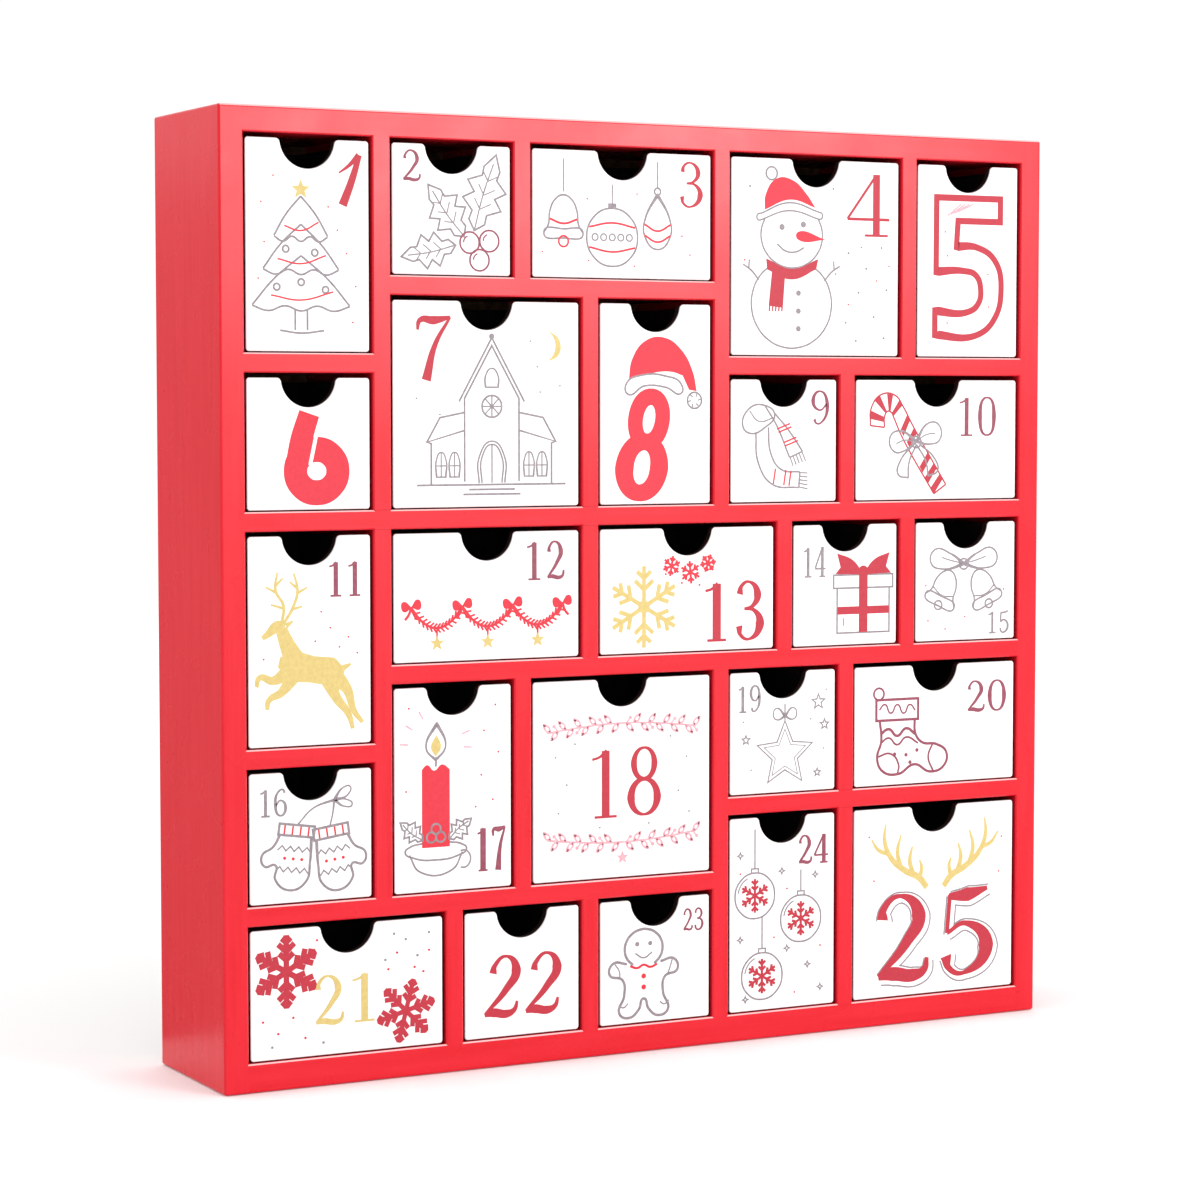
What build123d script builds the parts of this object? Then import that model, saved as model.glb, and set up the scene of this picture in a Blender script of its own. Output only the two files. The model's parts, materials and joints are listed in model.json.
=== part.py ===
import os

from build123d import *

# Wooden advent calendar: a square carcass with 25 loose drawers, in millimetres.
# X runs along the width, Y from the drawer fronts to the back, Z up. The origin is the middle of the base.

# Carcass
carcass_width = 300
carcass_height = 300
carcass_depth = 55
outer_board = 8
base_board = 9
divider_board = 6
back_panel_board = 3
rabbet_width = 4
panel_gap = 0.2
lap_clearance = 0.05
mouth_ease = 0.4
outer_round = 0.8

# Drawers
drawer_board = 3
drawer_floor_board = 2.5
front_side_gap = 0.9
front_top_gap = 1.5
front_bottom_gap = 0.4
front_recess = 0.8
front_corner_radius = 1
front_edge_round = 0.5
wall_drop = 1.2
wall_inset = 0.5
notch_radius = 9
notch_shoulder_radius = 1.5

# Brads
brad_length = 16
brad_diameter = 1.2
brad_head_diameter = 2.2
brad_head_height = 0.8
brad_tip_length = 2
brad_clearance = 0.05
brad_set_depth = 1
panel_pin_shares = (-0.42, -0.14, 0.14, 0.42)
corner_brad_shares = (-0.32, 0, 0.28)

# How far a cut runs past the face that it opens
overrun = 0.5

# The drawers fill a grid of twelve by twelve units, and the tables give each piece's share of them.
# Drawers: first column, first row from the top, columns wide, rows high
grid_units = 12
drawer_grid_shares = {
    1: (0, 0, 2, 3),
    2: (2, 0, 2, 2),
    3: (4, 0, 3, 2),
    4: (7, 0, 3, 3),
    5: (10, 0, 2, 3),
    6: (0, 3, 2, 2),
    7: (2, 2, 3, 3),
    8: (5, 2, 2, 3),
    9: (7, 3, 2, 2),
    10: (9, 3, 3, 2),
    11: (0, 5, 2, 3),
    12: (2, 5, 3, 2),
    13: (5, 5, 3, 2),
    14: (8, 5, 2, 2),
    15: (10, 5, 2, 2),
    16: (0, 8, 2, 2),
    17: (2, 7, 2, 3),
    18: (4, 7, 3, 3),
    19: (7, 7, 2, 2),
    20: (9, 7, 3, 2),
    21: (0, 10, 3, 2),
    22: (3, 10, 2, 2),
    23: (5, 10, 2, 2),
    24: (7, 9, 2, 3),
    25: (9, 9, 3, 3),
}

# Shelves: row line, then the column lines where they start and end
full_width_shelf_shares = [(5, 0, 12)]
part_width_shelf_shares = [
    (3, 0, 2),
    (2, 2, 7),
    (3, 7, 12),
    (7, 2, 12),
    (8, 0, 2),
    (9, 7, 12),
    (10, 0, 7),
]

# Partitions: column line, then the row lines where they start and end
tall_partition_shares = [(2, 0, 10), (5, 2, 7), (7, 0, 5), (7, 7, 12), (9, 7, 12)]
short_partition_shares = [
    (4, 0, 2),
    (10, 0, 3),
    (9, 3, 5),
    (8, 5, 7),
    (10, 5, 7),
    (4, 7, 10),
    (3, 10, 12),
    (5, 10, 12),
]

# Places worked out from the sizes above
column_pitch = (carcass_width - 2 * outer_board + divider_board) / grid_units
row_pitch = (carcass_height - outer_board - base_board + divider_board) / grid_units
side_x = carcass_width / 2
front_y = -carcass_depth / 2
back_y = carcass_depth / 2
panel_front_y = back_y - back_panel_board
lap_y = (front_y + panel_front_y) / 2
panel_x = side_x - outer_board + rabbet_width
panel_low = base_board - rabbet_width
panel_high = carcass_height - outer_board + rabbet_width
drawer_front_y = front_y + front_recess
drawer_box_y = drawer_front_y + drawer_board


def column_x(line):
    """Left face of the openings that start at a column line; a partition there lies to its left."""
    return -side_x + outer_board + line * column_pitch


def row_z(line):
    """Top of the openings that start at a row line; a shelf there lies above it."""
    return carcass_height - outer_board - line * row_pitch


def opening(cells):
    """Left, right, low and high faces of one drawer's compartment."""
    column, row, columns, rows = cells
    left = column_x(column)
    right = column_x(column + columns) - divider_board
    low = row_z(row + rows) + divider_board
    high = row_z(row)
    return left, right, low, high


def block(low, high, mode=Mode.ADD):
    """Square-edged block between two opposite corners, for the block that is being built."""
    size = Vector(*high) - Vector(*low)
    with Locations(low):
        Box(size.X, size.Y, size.Z, align=Align.MIN, mode=mode)


def board(label, low, high):
    """Square-edged board by itself."""
    with BuildPart() as piece:
        block(low, high)
    piece.part.label = label
    return piece.part


# Brad with its head at the origin, pointing down, and the hole that it is driven into
def brad_shape(clearance):
    shank = brad_diameter / 2 + clearance
    head = brad_head_diameter / 2 + clearance
    tip_start = -brad_length + brad_tip_length
    with BuildPart() as shape:
        with BuildSketch(Plane.XZ):
            with BuildLine():
                Polyline(
                    (0, 0),
                    (head, 0),
                    (head, -brad_head_height - clearance),
                    (shank, -brad_head_height - clearance),
                    (shank, tip_start),
                    (0, -brad_length - clearance),
                    close=True,
                )
            make_face()
        revolve(axis=Axis.Z)
    return shape.part


# Panel pins along the middle of the rabbet, on the four sides of the back
pin_inset = rabbet_width / 2
brad_planes = []
for share in panel_pin_shares:
    for height in (panel_low + pin_inset, panel_high - pin_inset):
        brad_planes.append(Plane((share * carcass_width, back_y, height), z_dir=(0, 1, 0)))
    for pin_x in (-panel_x + pin_inset, panel_x - pin_inset):
        pin_z = carcass_height / 2 + share * carcass_height
        brad_planes.append(Plane((pin_x, back_y, pin_z), z_dir=(0, 1, 0)))

# Corner brads through the side boards into the ends of the top and bottom boards, set below the paint
for share in corner_brad_shares:
    for side in (-1, 1):
        for height in (base_board / 2, carcass_height - outer_board / 2):
            head_place = (side * (side_x - brad_set_depth), share * carcass_depth, height)
            brad_planes.append(Plane(head_place, z_dir=(side, 0, 0)))

brad = brad_shape(0)
brad_hole = brad_shape(brad_clearance)

with BuildPart() as brads:
    with Locations(*brad_planes):
        add(brad)
brads.part.label = "brads"

with BuildPart() as brad_holes:
    with Locations(*brad_planes):
        add(brad_hole)

# Outer shape of the carcass, with its edges and corners rounded
with BuildPart() as envelope:
    block((-side_x, front_y, 0), (side_x, back_y, carcass_height))
    fillet(envelope.edges(), outer_round)

# Rabbet for the back panel, cut through all four outer boards
with BuildPart() as rabbet:
    block(
        (-panel_x, panel_front_y, panel_low),
        (panel_x, back_y + overrun, panel_high),
    )

# Flared mouths of the compartments, which ease the front edges of every board round them
with BuildPart() as mouths:
    for cells in drawer_grid_shares.values():
        left, right, low, high = opening(cells)
        middle = ((left + right) / 2, (low + high) / 2)
        flare = 2 * (mouth_ease + overrun)
        with BuildSketch(Plane.XZ.offset(-front_y - mouth_ease)):
            with Locations(middle):
                Rectangle(right - left, high - low)
        with BuildSketch(Plane.XZ.offset(-front_y + overrun)):
            with Locations(middle):
                Rectangle(right - left + flare, high - low + flare)
        loft(ruled=True)


def finish_outer_board():
    """Cuts that every outer board shares."""
    add(rabbet.part, mode=Mode.SUBTRACT)
    add(brad_holes.part, mode=Mode.SUBTRACT)
    add(mouths.part, mode=Mode.SUBTRACT)
    add(envelope.part, mode=Mode.INTERSECT)


# Side boards run the full height, with the top and bottom boards between them
with BuildPart() as left_side:
    block((-side_x, front_y, 0), (-side_x + outer_board, back_y, carcass_height))
    finish_outer_board()
left_side.part.label = "left_side"

with BuildPart() as right_side:
    block((side_x - outer_board, front_y, 0), (side_x, back_y, carcass_height))
    finish_outer_board()
right_side.part.label = "right_side"

with BuildPart() as top_board:
    block(
        (-side_x + outer_board, front_y, carcass_height - outer_board),
        (side_x - outer_board, back_y, carcass_height),
    )
    finish_outer_board()
top_board.part.label = "top_board"

with BuildPart() as bottom_board:
    block((-side_x + outer_board, front_y, 0), (side_x - outer_board, back_y, base_board))
    finish_outer_board()
bottom_board.part.label = "bottom_board"

with BuildPart() as back_panel:
    block(
        (-panel_x + panel_gap, panel_front_y, panel_low + panel_gap),
        (panel_x - panel_gap, back_y, panel_high - panel_gap),
    )
    add(brad_holes.part, mode=Mode.SUBTRACT)
back_panel.part.label = "back_panel"

# Where a partition passes a shelf, each is slotted halfway: partitions from the front, shelves from the back
crossings = [
    (column, row)
    for column, first_row, last_row in tall_partition_shares
    for row, first_column, last_column in full_width_shelf_shares + part_width_shelf_shares
    if first_row < row < last_row and first_column < column < last_column
]


def add_shelves(shares):
    """Shelves with the slots for the partitions that pass them."""
    for row, first, last in shares:
        block(
            (column_x(first), front_y, row_z(row)),
            (column_x(last) - divider_board, panel_front_y, row_z(row) + divider_board),
        )
    for column, row in crossings:
        block(
            (column_x(column) - divider_board - lap_clearance, lap_y - lap_clearance, row_z(row) - overrun),
            (column_x(column) + lap_clearance, panel_front_y + overrun, row_z(row) + divider_board + overrun),
            mode=Mode.SUBTRACT,
        )
    add(mouths.part, mode=Mode.SUBTRACT)


def add_partitions(shares):
    """Partitions with the slots for the shelves that pass them."""
    for column, first, last in shares:
        block(
            (column_x(column) - divider_board, front_y, row_z(last) + divider_board),
            (column_x(column), panel_front_y, row_z(first)),
        )
    for column, row in crossings:
        block(
            (column_x(column) - divider_board - overrun, front_y - overrun, row_z(row) - lap_clearance),
            (column_x(column) + overrun, lap_y + lap_clearance, row_z(row) + divider_board + lap_clearance),
            mode=Mode.SUBTRACT,
        )
    add(mouths.part, mode=Mode.SUBTRACT)


with BuildPart() as full_width_shelf:
    add_shelves(full_width_shelf_shares)
full_width_shelf.part.label = "full_width_shelf"

with BuildPart() as part_width_shelves:
    add_shelves(part_width_shelf_shares)
part_width_shelves.part.label = "part_width_shelves"

with BuildPart() as tall_partitions:
    add_partitions(tall_partition_shares)
tall_partitions.part.label = "tall_partitions"

with BuildPart() as short_partitions:
    add_partitions(short_partition_shares)
short_partitions.part.label = "short_partitions"


def drawer_front(label, cells):
    """Printed front with a half-round finger notch in its top edge."""
    left, right, low, high = opening(cells)
    width = right - left - 2 * front_side_gap
    height = high - low - front_bottom_gap - front_top_gap
    foot = ((left + right) / 2, drawer_box_y, low + front_bottom_gap)
    with BuildPart() as front:
        with BuildSketch(Plane(foot, x_dir=(1, 0, 0), z_dir=(0, -1, 0))) as outline:
            Rectangle(width, height, align=(Align.CENTER, Align.MIN))
            fillet(outline.vertices(), front_corner_radius)
            with Locations((0, height)):
                Circle(notch_radius, mode=Mode.SUBTRACT)
            top_points = outline.vertices().group_by(Axis.Y)[-1].sort_by(Axis.X)
            fillet(top_points[1:-1], notch_shoulder_radius)
        extrude(amount=drawer_board)
        face_edges = front.faces().sort_by(Axis.Y)[0].outer_wire().edges()
        fillet(face_edges, front_edge_round)
    front.part.label = label
    return front.part


def drawer_box(label, cells):
    """Floor with two side walls and a back wall standing on it, behind the front."""
    left, right, low, high = opening(cells)
    box_left = left + front_side_gap + wall_inset
    box_right = right - front_side_gap - wall_inset
    floor_top = low + drawer_floor_board
    wall_top = high - front_top_gap - wall_drop
    back_wall_y = panel_front_y - drawer_board
    boards = [
        board("floor", (box_left, drawer_box_y, low), (box_right, panel_front_y, floor_top)),
        board(
            "left_wall",
            (box_left, drawer_box_y, floor_top),
            (box_left + drawer_board, panel_front_y, wall_top),
        ),
        board(
            "right_wall",
            (box_right - drawer_board, drawer_box_y, floor_top),
            (box_right, panel_front_y, wall_top),
        ),
        board(
            "back_wall",
            (box_left + drawer_board, back_wall_y, floor_top),
            (box_right - drawer_board, panel_front_y, wall_top),
        ),
    ]
    return Compound(label=label, children=boards)


pieces = [
    left_side.part,
    right_side.part,
    top_board.part,
    bottom_board.part,
    back_panel.part,
    full_width_shelf.part,
    part_width_shelves.part,
    tall_partitions.part,
    short_partitions.part,
    brads.part,
]
for number, cells in drawer_grid_shares.items():
    pieces.append(drawer_front(f"drawer_{number:02d}_front", cells))
    pieces.append(drawer_box(f"drawer_{number:02d}_box", cells))

os.makedirs("parts", exist_ok=True)
for piece in pieces:
    export_step(piece, f"parts/{piece.label}.step")
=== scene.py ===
import json
from math import cos, pi, radians, sin

import bmesh
import bpy
from mathutils import Matrix, Vector


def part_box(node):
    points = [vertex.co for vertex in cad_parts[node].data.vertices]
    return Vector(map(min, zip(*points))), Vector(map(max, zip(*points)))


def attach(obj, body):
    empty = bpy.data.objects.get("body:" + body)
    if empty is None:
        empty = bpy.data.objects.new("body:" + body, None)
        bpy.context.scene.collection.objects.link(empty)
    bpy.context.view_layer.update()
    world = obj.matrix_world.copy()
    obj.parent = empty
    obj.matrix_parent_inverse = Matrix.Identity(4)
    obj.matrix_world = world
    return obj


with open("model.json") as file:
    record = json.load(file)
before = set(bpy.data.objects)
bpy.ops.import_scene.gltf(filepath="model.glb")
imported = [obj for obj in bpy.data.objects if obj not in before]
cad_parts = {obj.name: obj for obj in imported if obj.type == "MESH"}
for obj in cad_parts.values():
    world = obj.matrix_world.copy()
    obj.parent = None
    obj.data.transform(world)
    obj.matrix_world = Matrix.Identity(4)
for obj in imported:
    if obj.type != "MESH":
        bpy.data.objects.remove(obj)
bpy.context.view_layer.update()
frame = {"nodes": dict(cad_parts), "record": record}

mm = 0.001
print("frame loaded:", len(frame["nodes"]), "nodes")


# materials

def hexLinear(code):
    channels = [int(code[i:i + 2], 16) / 255 for i in (0, 2, 4)]
    return [c / 12.92 if c <= 0.04045 else ((c + 0.055) / 1.055) ** 2.4 for c in channels] + [1]


def addNode(mat, kind, values=None, links=None, **settings):
    node = mat.node_tree.nodes.new(kind)
    for name, value in settings.items():
        setattr(node, name, value)
    for socket, value in (values or {}).items():
        node.inputs[socket].default_value = value
    for socket, source in (links or {}).items():
        mat.node_tree.links.new(source, node.inputs[socket])
    return node


def startMaterial(name, values):
    mat = bpy.data.materials.new(name)
    mat.use_nodes = True
    mat.node_tree.nodes.clear()
    shader = addNode(mat, "ShaderNodeBsdfPrincipled", values)
    addNode(mat, "ShaderNodeOutputMaterial", links={"Surface": shader.outputs["BSDF"]})
    place = addNode(mat, "ShaderNodeTexCoord").outputs["Object"]
    return mat, shader, place


def perMetre(sizeMm):
    return 1 / (sizeMm * mm)  # noise scale for features of that size


def stippleBump(mat, shader, place, sizeMm, depthMm, strength):
    # roller or spray texture that stands up from the surface
    grain = addNode(mat, "ShaderNodeTexNoise", {"Scale": perMetre(sizeMm), "Detail": 3, "Roughness": 0.6},
                    {"Vector": place})
    bump = addNode(mat, "ShaderNodeBump", {"Strength": strength, "Distance": depthMm * mm},
                   {"Height": grain.outputs["Fac"]})
    mat.node_tree.links.new(bump.outputs["Normal"], shader.inputs["Normal"])


def mottle(mat, shader, place, colours, sizeMm, low=0.35, high=0.65):
    # two close shades that drift into each other
    cloud = addNode(mat, "ShaderNodeTexNoise", {"Scale": perMetre(sizeMm), "Detail": 4, "Roughness": 0.55},
                    {"Vector": place})
    ramp = addNode(mat, "ShaderNodeValToRGB", links={"Fac": cloud.outputs["Fac"]})
    for stop, where, code in zip(ramp.color_ramp.elements, (low, high), colours):
        stop.position = where
        stop.color = hexLinear(code)
    mat.node_tree.links.new(ramp.outputs["Color"], shader.inputs["Base Color"])
    return ramp


def varyRoughness(mat, shader, place, sizeMm, low, high):
    cloud = addNode(mat, "ShaderNodeTexNoise", {"Scale": perMetre(sizeMm), "Detail": 3}, {"Vector": place})
    spread = addNode(mat, "ShaderNodeMapRange",
                     {"From Min": 0.3, "From Max": 0.7, "To Min": low, "To Max": high},
                     {"Value": cloud.outputs["Fac"]})
    mat.node_tree.links.new(spread.outputs["Result"], shader.inputs["Roughness"])
    return spread


def facing(mat, direction):
    # 1 on a face that looks that way, 0 on one at right angles to it
    normal = addNode(mat, "ShaderNodeNewGeometry").outputs["True Normal"]
    match = addNode(mat, "ShaderNodeVectorMath", {1: direction}, {0: normal}, operation="DOT_PRODUCT")
    return match.outputs["Value"]


def colourByFacing(mat, shader, ramp, direction, low, high, away, toward):
    # two colours on one board, told apart by the way each face looks: a painted highlight on the red paint's
    # upper front edges, near black on the white fronts' side faces
    share = addNode(mat, "ShaderNodeMapRange",
                    {"From Min": low, "From Max": high, "To Min": away, "To Max": toward},
                    {"Value": facing(mat, direction)})
    mix = addNode(mat, "ShaderNodeMix", links={0: share.outputs["Result"], 6: ramp.outputs["Color"]},
                  data_type="RGBA")  # sockets of the colour kind: 0 factor, 6 and 7 colours, output 2
    mat.node_tree.links.new(mix.outputs[2], shader.inputs["Base Color"])
    return mix.inputs[7]


# stipple is always size in mm, depth in mm, strength
redPaint = {"shades": ("ca1523", "d01d2b"), "streakMm": 2.2, "upright": (1, 1, 0.05), "level": (0.05, 1, 1),
            "gloss": 0.28, "roughness": (0.25, 0.31), "sheenMm": 22, "stipple": (0.9, 0.02, 0.15),
            # edge is the colour of the painted highlight on the eased upper front edges
            "edge": "ffd4d4", "edgeShare": 0.7, "edgeFacing": (0.9, 0.98),
            "dulled": 0.65, "upFacing": (0.8, 0.95)}


def makeRedPaint(grain):
    # satin paint brushed along the board: even red, soft wide sheen, faint brush marks the way the board runs
    mat, shader, place = startMaterial("satinRedPaint" + grain.capitalize(),
                                       {"IOR": 1.42, "Specular IOR Level": redPaint["gloss"]})
    brushed = addNode(mat, "ShaderNodeMapping", {"Scale": redPaint[grain]}, {"Vector": place})
    ramp = mottle(mat, shader, brushed.outputs["Vector"], redPaint["shades"], redPaint["streakMm"])
    # the eased upper front edges, which look up and forward, get a paler colour: a painted highlight where
    # light from above catches them
    upperEdge = (0, -cos(pi / 4), sin(pi / 4))
    paintedEdgeHighlight = colourByFacing(mat, shader, ramp, upperEdge, *redPaint["edgeFacing"], 0,
                               redPaint["edgeShare"])
    paintedEdgeHighlight.default_value = hexLinear(redPaint["edge"])
    sheen = varyRoughness(mat, shader, place, redPaint["sheenMm"], *redPaint["roughness"])
    # dusting and wiping take the sheen off faces that look up
    low, high = redPaint["upFacing"]
    dulled = addNode(mat, "ShaderNodeMapRange",
                     {"From Min": low, "From Max": high, "To Max": redPaint["dulled"]},
                     {"Value": facing(mat, (0, 0, 1)), "To Min": sheen.outputs["Result"]})
    mat.node_tree.links.new(dulled.outputs["Result"], shader.inputs["Roughness"])
    stippleBump(mat, shader, place, *redPaint["stipple"])
    return mat


whitePaint = {"shades": ("e5e6e6", "ebecec"), "driftMm": 18, "roughness": (0.42, 0.54), "sheenMm": 12,
              "stipple": (0.7, 0.02, 0.25), "sideFaceColour": "1c1613", "frontFacing": (0.05, 0.2)}


def makeWhitePaint():
    # white sprayed face that takes the print, dull and smooth; the faces that do not look forward, its cut
    # edges and the walls of the notch, are coloured near black
    mat, shader, place = startMaterial("sprayedWhitePaint", {"IOR": 1.5})
    ramp = mottle(mat, shader, place, whitePaint["shades"], whitePaint["driftMm"])
    # faces turned away from the front take the near-black colour
    sideFaceColour = colourByFacing(mat, shader, ramp, (0, -1, 0), *whitePaint["frontFacing"], 1, 0)
    sideFaceColour.default_value = hexLinear(whitePaint["sideFaceColour"])
    varyRoughness(mat, shader, place, whitePaint["sheenMm"], *whitePaint["roughness"])
    stippleBump(mat, shader, place, *whitePaint["stipple"])
    return mat


stainedBoard = {"shades": ("120e0c", "201915"), "fibreMm": 1.6, "roughness": 0.8, "stipple": (1.6, 0.05, 0.4)}


def makeStainedBoard():
    # black-stained fibreboard: dull and dark, with short pressed fibres
    mat, shader, place = startMaterial("blackStainedFibreboard",
                                       {"IOR": 1.5, "Roughness": stainedBoard["roughness"]})
    mottle(mat, shader, place, stainedBoard["shades"], stainedBoard["fibreMm"])
    stippleBump(mat, shader, place, *stainedBoard["stipple"])
    return mat


hardboard = {"shades": ("62432b", "86603d"), "patchMm": 2.8, "patchEdge": (0.3, 0.7),
             "roughness": (0.5, 0.66),
             "sheenMm": 14, "stipple": (1.1, 0.03, 0.4)}


def makeHardboard():
    # pressed hardboard, smooth side out: brown, flecked with darker fibres
    mat, shader, place = startMaterial("pressedHardboard", {"IOR": 1.5})
    mottle(mat, shader, place, hardboard["shades"], hardboard["patchMm"], *hardboard["patchEdge"])
    varyRoughness(mat, shader, place, hardboard["sheenMm"], *hardboard["roughness"])
    stippleBump(mat, shader, place, *hardboard["stipple"])
    return mat


steelWire = {"colour": "b9bcc0", "roughness": (0.3, 0.5), "sheenMm": 0.8, "stipple": (0.5, 0.02, 0.4)}


def makeSteelWire():
    # drawn steel brads: dull grey heads with fine hammer scratches
    mat, shader, place = startMaterial("drawnSteelWire",
                                       {"Base Color": hexLinear(steelWire["colour"]), "Metallic": 1})
    varyRoughness(mat, shader, place, steelWire["sheenMm"], *steelWire["roughness"])
    stippleBump(mat, shader, place, *steelWire["stipple"])
    return mat


inks = {"red": ("c40926", "cc112d"), "crimson": ("a60a26", "ae122c"), "plum": ("7c2a40", "8a3c50"),
        "grey": ("776c72", "8c8186"), "gold": ("bfa862", "c9b26c"), "pink": ("d98c97", "e3a5ad"),
        "white": ("e5e6e6", "ebecec")}
inkFilm = {"patchMm": 1.4, "roughness": 0.55, "stipple": (0.6, 0.01, 0.2)}


def makeInk(name, shades):
    # screen-print ink: flat colour, slightly patchy where the board shows through
    mat, shader, place = startMaterial("printInk" + name.capitalize(),
                                       {"IOR": 1.48, "Roughness": inkFilm["roughness"]})
    mottle(mat, shader, place, shades, inkFilm["patchMm"])
    stippleBump(mat, shader, place, *inkFilm["stipple"])
    return mat


inkMaterials = {name: makeInk(name, shades) for name, shades in inks.items()}
nodeMaterials = {"red_painted_wood": makeRedPaint("upright"), "white_painted_wood": makeWhitePaint(),
                 "dark_drawer_wood": makeStainedBoard(), "back_hardboard": makeHardboard(),
                 "brad_steel": makeSteelWire()}
levelPaint = makeRedPaint("level")
levelBoards = ("top_board", "bottom_board", "full_width_shelf", "part_width_shelves")
for part in frame["record"]["subparts"]:
    node = frame["nodes"][part["node"]]
    node.data.materials.clear()
    slotMaterial = nodeMaterials[part["material_slot"]]
    node.data.materials.append(levelPaint if part["node"] in levelBoards else slotMaterial)
print("materials on", len(frame["nodes"]), "nodes")


# prints: every drawing is in millimetres on its drawer front, from the lower left corner, u right and v up

printLayer = {"proudMm": 0.05, "sunkMm": 0.03, "stepMm": 0.001, "mergeMm": 0.0001}
stroke = {"hairMm": 0.42, "leastMm": 0.4, "bleedMm": 0.2, "sharpest": 0.45, "curveSteps": 10}


def newCurve(flat):
    curve = bpy.data.curves.new("inkPath", "CURVE")
    curve.dimensions = "2D" if flat else "3D"
    if flat:
        curve.fill_mode = "BOTH"
    else:
        curve.twist_mode = "Z_UP"
        curve.extrude = 0.5  # half of a one millimetre ribbon, times the width at each point
    return curve


def cornerStretch(points, i, closed):
    # a mitred corner is wider than the stroke by the cosine of half its turn
    if not closed and i in (0, len(points) - 1):
        return 1
    before, here, after = (Vector(points[j % len(points)][:2]) for j in (i - 1, i, i + 1))
    return 1 / max(cos((here - before).angle(after - here, 0) / 2), stroke["sharpest"])


def addPath(curve, points, height, width, closed, smooth, corners):
    spline = curve.splines.new("BEZIER")
    spline.bezier_points.add(len(points) - 1)
    for i, (knot, point) in enumerate(zip(spline.bezier_points, points)):
        knot.co = (point[0], point[1], height)
        knot.radius = (point[2] if len(point) > 2 else width) + stroke["bleedMm"]  # wet ink spreads
        knot.tilt = pi / 2
        kind = "AUTO"
        if not smooth or i in corners:
            kind = "VECTOR"
            knot.radius *= cornerStretch(points, i, closed)
        knot.handle_left_type = kind
        knot.handle_right_type = kind
    spline.use_cyclic_u = closed
    spline.resolution_u = stroke["curveSteps"] if smooth else 1


def line(art, ink, points, width=None, closed=False, smooth=True, corners=()):
    art.setdefault(ink, []).append(("line", points, width or stroke["hairMm"], closed, smooth, corners))


def shape(art, ink, points, smooth=True, corners=()):
    art.setdefault(ink, []).append(("shape", points, 1, True, smooth, corners))


def ring(u, v, ru, rv=None, start=0, turn=360, count=9):
    rv = rv or ru
    steps = count if turn < 360 else count - 1
    angles = [radians(start + turn * i / (count - 1)) for i in range(steps)]
    return [(u + ru * cos(a), v + rv * sin(a)) for a in angles]


def circle(art, ink, u, v, ru, rv=None, width=None):
    line(art, ink, ring(u, v, ru, rv), width, closed=True)


def dot(art, ink, u, v, radius):
    shape(art, ink, ring(u, v, radius, count=7))


def placed(points, u, v, size=1, turn=0, flip=False):
    c, s = cos(radians(turn)), sin(radians(turn))
    out = []
    for p in points:
        x = -p[0] if flip else p[0]
        out.append((u + size * (x * c - p[1] * s), v + size * (x * s + p[1] * c)) + tuple(p[2:]))
    return out


def starPoints(u, v, radius, inner=0.42, tips=5, turn=90):
    points = []
    for i in range(2 * tips):
        reach = radius if i % 2 == 0 else radius * inner
        a = radians(turn + 180 * i / tips)
        points.append((u + reach * cos(a), v + reach * sin(a)))
    return points


def snowflake(art, ink, u, v, radius, width, barbs=((0.45, 0.3), (0.72, 0.22)), turn=90):
    for arm in range(6):
        a = turn + 60 * arm
        line(art, ink, placed([(0, 0), (1, 0)], u, v, radius, a), width, smooth=False)
        for along, length in barbs:
            for side in (-1, 1):
                barb = [(along, 0), (along + length * cos(radians(48)), side * length * sin(radians(48)))]
                line(art, ink, placed(barb, u, v, radius, a), width, smooth=False)


def speckle(art, ink, places, radius=0.28):
    for u, v in places:
        dot(art, ink, u, v, radius)


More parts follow.
